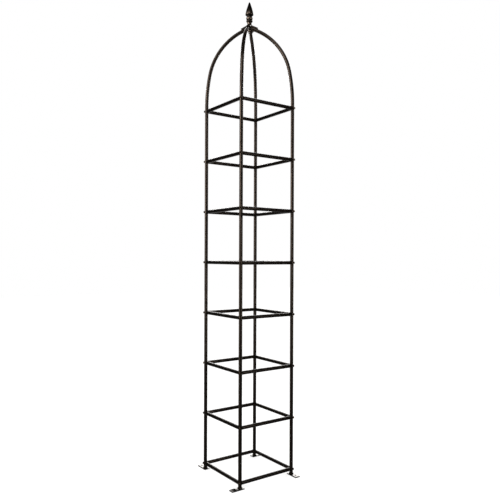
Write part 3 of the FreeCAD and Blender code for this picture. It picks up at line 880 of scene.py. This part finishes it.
# --------------------------------------------------------------------- finial
# outlines as (distance below the tip, radius), mm
BUD = [
    (0.0, 0.0), (0.35, 0.95), (1.3, 1.7), (5.0, 3.9), (10.0, 6.1), (16.0, 8.2),
    (21.5, 10.0), (27.0, 11.9), (32.5, 13.7), (38.0, 15.4), (43.5, 17.0), (49.0, 18.4),
    (54.5, 19.8), (60.0, 21.0), (65.5, 22.0), (69.5, 22.2), (72.2, 21.2), (73.8, 19.0),
    (74.6, 16.6)]
UPPER_NECK = [(74.6, 16.6), (76.0, 14.8), (78.6, 13.9), (81.0, 14.2)]
UPPER_BEAD = [
    (81.0, 14.2), (83.0, 15.9), (86.4, 17.4), (90.0, 18.0), (93.6, 17.6), (96.6, 16.4),
    (98.6, 14.6)]
GROOVE = [(99.3, 14.5)]
LOWER_BEAD = [(100.0, 14.6), (101.6, 16.4), (104.2, 17.9), (106.8, 17.7), (109.4, 15.6)]
LOWER_NECK = [
    (109.4, 15.6), (111.2, 14.0), (114.2, 13.0), (117.2, 12.3), (120.0, 12.0),
    (123.0, 12.0)]
# chamfer and underside, then the blind bore with its conical end
SEAT_AND_BORE = [(124.0, 11.4), (124.0, 4.0), (100.0, 4.0), (97.0, 0.0)]


def spline(stations, step=0.9):
    """Points about a step apart on the natural cubic through the stations."""
    points = np.array(stations, float)
    along = np.r_[0, np.cumsum(np.linalg.norm(np.diff(points, axis=0), axis=1))]
    n = len(points)
    system = np.zeros((n, n))
    target = np.zeros((n, 2))
    system[0, 0] = system[-1, -1] = 1
    h = np.diff(along)
    for i in range(1, n - 1):
        system[i, i - 1:i + 2] = h[i - 1], 2 * (h[i - 1] + h[i]), h[i]
        target[i] = 6 * ((points[i + 1] - points[i]) / h[i]
                         - (points[i] - points[i - 1]) / h[i - 1])
    curve = np.linalg.solve(system, target)        # second derivatives
    out = []
    for s in np.linspace(0, along[-1], max(4, int(along[-1] / step))):
        i = min(max(np.searchsorted(along, s) - 1, 0), n - 2)
        a, b = along[i + 1] - s, s - along[i]
        out.append(curve[i] * a ** 3 / (6 * h[i]) + curve[i + 1] * b ** 3 / (6 * h[i])
                   + (points[i] / h[i] - curve[i] * h[i] / 6) * a
                   + (points[i + 1] / h[i] - curve[i + 1] * h[i] / 6) * b)
    return [tuple(p) for p in out]


def cast_relief(point, *, depth, scale, octave_gap, fine_scale):
    """Height of the sand-cast texture at a point: broad relief and fine grain."""
    return (depth * noise.fractal(point * scale, 1.0, octave_gap, 3)
            + 0.05 * MM * noise.noise(point * fine_scale))


def finial():
    outline = (spline(BUD) + spline(UPPER_NECK)[1:] + spline(UPPER_BEAD)[1:] + GROOVE
               + spline(LOWER_BEAD) + spline(LOWER_NECK)[1:] + SEAT_AND_BORE)
    shell = lathe([(max(r, 0.0) * MM, TIP_Z - down * MM) for down, r in outline][::-1], 96)
    textured = []
    for x, y, z in shell.verts:
        r = math.hypot(x, y)
        in_bore = r < 4.5 * MM and z < TIP_Z - 20 * MM
        if not in_bore:
            relief = cast_relief(Vector((x, y, z)), depth=0.16 * MM, scale=140.0,
                                 octave_gap=2.2, fine_scale=900.0)
            fade = min(1.0, r / (4 * MM))          # to nothing at the tip
            outward = np.array(Vector((x, y, 0)).normalized())
            x, y, z = np.array((x, y, z)) + outward * relief * fade
        textured.append((float(x), float(y), float(z)))
    shell.verts = textured
    return shell


make("finial_cast", finial(), FINIAL_PAINT, "cast_paint", "finial", sharp=50)


# ---------------------------------------------------------------------- crown
def remeshed(source, voxel_size):
    """Evenly meshed copy of an object's mesh."""
    mesh = source.data.copy()
    obj = bpy.data.objects.new("crown_tmp", mesh)
    SCENE.collection.objects.link(obj)
    modifier = obj.modifiers.new("voxels", "REMESH")
    modifier.mode = "VOXEL"
    modifier.voxel_size = voxel_size
    modifier.adaptivity = 0.0
    bpy.context.view_layer.update()
    depsgraph = bpy.context.evaluated_depsgraph_get()
    result = bpy.data.meshes.new_from_object(obj.evaluated_get(depsgraph),
                                             depsgraph=depsgraph)
    bpy.data.objects.remove(obj)
    bpy.data.meshes.remove(mesh)
    return result


def crown_mesh():
    """The crown as it leaves the mould: the edges and inner corners of the
    frame's shape rounded over, with a fine sand texture."""
    mesh = remeshed(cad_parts["crown"], voxel_size=0.62 * MM)
    bm = bmesh.new()
    bm.from_mesh(mesh)
    for _ in range(7):
        bmesh.ops.smooth_vert(bm, verts=bm.verts, factor=0.5,
                              use_axis_x=True, use_axis_y=True, use_axis_z=True)
    bm.normal_update()
    regrowth = 0.10 * MM                           # makes up for the smoothing
    for v in bm.verts:
        relief = cast_relief(v.co, depth=0.14 * MM, scale=160.0, octave_gap=2.1,
                             fine_scale=950.0)
        v.co += v.normal * (relief + regrowth)
        v.co.z = min(v.co.z, SEAT_Z)               # nothing above the finial's seat
    bm.to_mesh(mesh)
    bm.free()
    attribute = mesh.attributes.new("brush", "FLOAT_VECTOR", "POINT")
    positions = np.zeros(len(mesh.vertices) * 3, np.float32)
    mesh.vertices.foreach_get("co", positions)
    attribute.data.foreach_set("vector", positions)
    mesh.materials.clear()
    mesh.materials.append(CROWN_PAINT)
    mesh.shade_smooth()
    mesh.name = "crown_cast"
    return mesh


add_object("crown_cast", crown_mesh(), "cast_paint", "crown")

# --------------------------------------------- washer, nut and stud of the finial
FINIAL_WASHER_T = 1.6 * MM
STUD_R, STUD_SEG = 4.0 * MM, 32
THREAD_PITCH, THREAD_DEPTH = 1.25 * MM, 0.62 * MM


def threaded_rod(z0, z1):
    """Rod with a helical thread and chamfered ends."""
    shell, rows = Shell(), []
    steps = int((z1 - z0) / (THREAD_PITCH / 8))
    for i in range(steps + 1):
        z = z0 + (z1 - z0) * i / steps
        reach = min(1.0, min(z - z0, z1 - z) / (0.9 * MM))
        limit = STUD_R - 0.8 * MM + 0.8 * MM * reach
        stations = []
        for k in range(STUD_SEG):
            phase = ((z - z0) / THREAD_PITCH - k / STUD_SEG) % 1.0
            groove = THREAD_DEPTH * min(1.0, abs(2 * phase - 1) * 1.25)
            stations.append((min(STUD_R - groove, limit), z))
        rows.append(shell.ring(stations))
    shell.bridge_capped(rows)
    return shell


under_washer = (0, 0, FINIAL_WASHER_TOP - FINIAL_WASHER_T)
make("finial_flat_washer", washer(8 * MM, 4.3 * MM, FINIAL_WASHER_T), BOLT_PAINT,
     "bolt_paint", "finial_washer", shift=under_washer)
make("finial_hex_nut", hex_nut(13 * MM, 6.5 * MM, 3.45 * MM), BOLT_PAINT, "bolt_paint",
     "finial_nut", sharp=HEX_SHARP, turn=13, shift=under_washer)
stud_low, stud_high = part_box("finial_stud")
make("finial_threaded_stud", threaded_rod(stud_low.z, stud_high.z), ZINC, "coupler_steel",
     "finial_stud", sharp=60)

# the sleeves inside the leg joints keep the frame's shape
for side in SIDES:
    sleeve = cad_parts["leg_coupler_" + side].data
    sleeve.materials.clear()
    sleeve.materials.append(ZINC)

# ---------------------------------------------------------------------- stage
FLOOR_HALF = 14.0
FLOOR_DROP = 0.0002                                # keeps it clear of the plates
CAM_YAW = math.radians(35.56)                      # from +Y towards +X
CAM_ROLL = math.radians(0.222)
CAM_DISTANCE = 9.0 * RUNG_L
CAM_Z = 3.486 * RUNG_L
FORWARD = Vector((math.sin(CAM_YAW), math.cos(CAM_YAW), 0))
RIGHT = Vector((math.cos(CAM_YAW), -math.sin(CAM_YAW), 0))


def floor_material():
    """Lit paper: most of its white is its own glow, so shadows stay faint."""
    material, _, surface = new_material("pale_floor")
    for name, value in (("Base Color", (0.36, 0.36, 0.36, 1)), ("Roughness", 0.9),
                        ("Specular IOR Level", 0.0), ("Emission Color", (1, 1, 1, 1)),
                        ("Emission Strength", 0.65)):
        surface.inputs[name].default_value = value
    return material


def build_floor():
    w = FLOOR_HALF
    mesh = bpy.data.meshes.new("floor")
    mesh.from_pydata([(-w, -w, 0), (w, -w, 0), (w, w, 0), (-w, w, 0)], [], [(0, 1, 2, 3)])
    floor = bpy.data.objects.new("floor", mesh)
    floor.location.z = -FLOOR_DROP
    mesh.materials.append(floor_material())
    SCENE.collection.objects.link(floor)
    floor.visible_glossy = False


def from_camera(degrees, rise=0.0):
    """Direction from the object: straight to the camera at 0, swung towards the
    camera's right by degrees and raised by rise degrees."""
    swing, lift = math.radians(degrees), math.radians(rise)
    level = -FORWARD * math.cos(swing) + RIGHT * math.sin(swing)
    return level * math.cos(lift) + Vector((0, 0, math.sin(lift)))


def mirrored_room(shader):
    """Brightness of what the paint mirrors: a dim room with bright shapes in it."""
    direction = shader.node("ShaderNodeTexCoord").outputs["Generated"]
    up = shader.node("ShaderNodeSeparateXYZ", {0: direction}).outputs["Z"]
    ramp, product = shader.ramp, shader.product

    def toward(aim, **levels):
        """Change of brightness as a direction nears the aim."""
        dot = shader.node("ShaderNodeVectorMath",
                          {0: direction, 1: tuple(Vector(aim).normalized())},
                          operation="DOT_PRODUCT")
        return ramp(dot.outputs["Value"], **levels)

    # paper behind the object, at eye height
    paper = product(toward(FORWARD, low=0.40, high=0.92, end=0.9),
                    ramp(up, low=-0.50, high=-0.25),
                    ramp(up, low=0.45, high=0.72, start=1.0, end=0.0))
    # lit floor, brighter towards the camera's left
    ground = product(toward(-RIGHT, low=-0.35, high=0.35, start=0.35, end=1.6),
                     ramp(up, low=-0.80, high=-0.45, start=1.0, end=0.0))
    # flat soft box high on the camera's side
    soft_box = product(toward(from_camera(-14, 34), low=0.90, high=0.97, end=4.2),
                       ramp(up, low=0.36, high=0.46),
                       ramp(up, low=0.66, high=0.76, start=1.0, end=0.0))
    # narrow sheet behind the object, with a crisp upper edge
    sheet = product(toward(from_camera(180, 19), low=0.962, high=0.988, end=8.0),
                    ramp(up, low=0.24, high=0.29),
                    ramp(up, low=0.371, high=0.378, start=1.0, end=0.0))
    # broad glow higher up behind
    glow = toward(from_camera(178, 36), low=0.80, high=0.97, end=2.4)
    # wall to the camera's left, brightest at its top
    wall = product(toward(from_camera(-64, 12), low=0.80, high=0.93, end=3.4),
                   ramp(up, low=-0.36, high=-0.04),
                   ramp(up, low=0.0, high=0.16, start=1.0, end=0.72),
                   ramp(up, low=0.18, high=0.32, start=1.0, end=2.0))
    brightness = ramp(up, low=-0.2, high=0.9, start=0.02, end=0.08)
    for part in (paper, ground, soft_box, sheet, glow, wall):
        brightness = shader.math("ADD", brightness, part)
    return brightness


def build_world():
    """Plain white for the camera and scattered light, the room for reflections."""
    world = bpy.data.worlds.new("studio")
    SCENE.world = world
    world.use_nodes = True
    shader = Shader(world.node_tree)
    output = shader.node("ShaderNodeOutputWorld")
    rays = shader.node("ShaderNodeLightPath").outputs
    room = shader.node("ShaderNodeBackground", {
        "Color": (1.0, 0.985, 0.965, 1), "Strength": mirrored_room(shader)})
    white = shader.node("ShaderNodeBackground", {"Color": (1, 1, 1, 1), "Strength": 1.0})
    plain = shader.math("MAXIMUM", rays["Is Camera Ray"], rays["Is Diffuse Ray"])
    mix = shader.node("ShaderNodeMixShader",
                      {0: plain, 1: room.outputs[0], 2: white.outputs[0]})
    shader.feed(output.inputs[0], mix.outputs[0])


def area_light(name, *, position, target, size, power, colour):
    light = bpy.data.lights.new(name, "AREA")
    light.shape = "RECTANGLE"
    light.size, light.size_y = size
    light.energy = power
    light.color = colour
    obj = bpy.data.objects.new(name, light)
    SCENE.collection.objects.link(obj)
    obj.location = position
    aim = Vector(target) - Vector(position)
    obj.rotation_euler = aim.to_track_quat("-Z", "Y").to_euler()


def build_lights():
    middle = Vector((0, 0, 1.5))
    distance = 3.3
    area_light("key_left", target=(0, 0, 1.9), size=(0.60, 1.8), power=55,
               position=middle + Vector((0, 0, 0.9)) + from_camera(-58) * distance,
               colour=(1.0, 0.98, 0.96))
    area_light("fill_right", target=(0, 0, 1.5), size=(0.35, 2.8), power=40,
               position=middle + from_camera(62) * distance,
               colour=(1.0, 0.99, 0.97))


def build_camera():
    lens = bpy.data.cameras.new("camera")
    camera = bpy.data.objects.new("camera", lens)
    SCENE.collection.objects.link(camera)
    lens.sensor_width = 36.0
    lens.lens = 39.816
    lens.shift_x, lens.shift_y = 0.003, 0.0142
    lens.clip_start, lens.clip_end = 0.05, 60
    camera.location = -FORWARD * CAM_DISTANCE + Vector((0, 0, CAM_Z))
    camera.rotation_mode = "QUATERNION"
    roll = Matrix.Rotation(CAM_ROLL, 3, "Z").to_quaternion()
    camera.rotation_quaternion = FORWARD.to_track_quat("-Z", "Y") @ roll
    SCENE.camera = camera


build_floor()
build_world()
build_lights()
build_camera()
SCENE.view_settings.view_transform = "Standard"
SCENE.view_settings.look = "None"
SCENE.view_settings.exposure = 0.0
SCENE.view_settings.gamma = 1.0
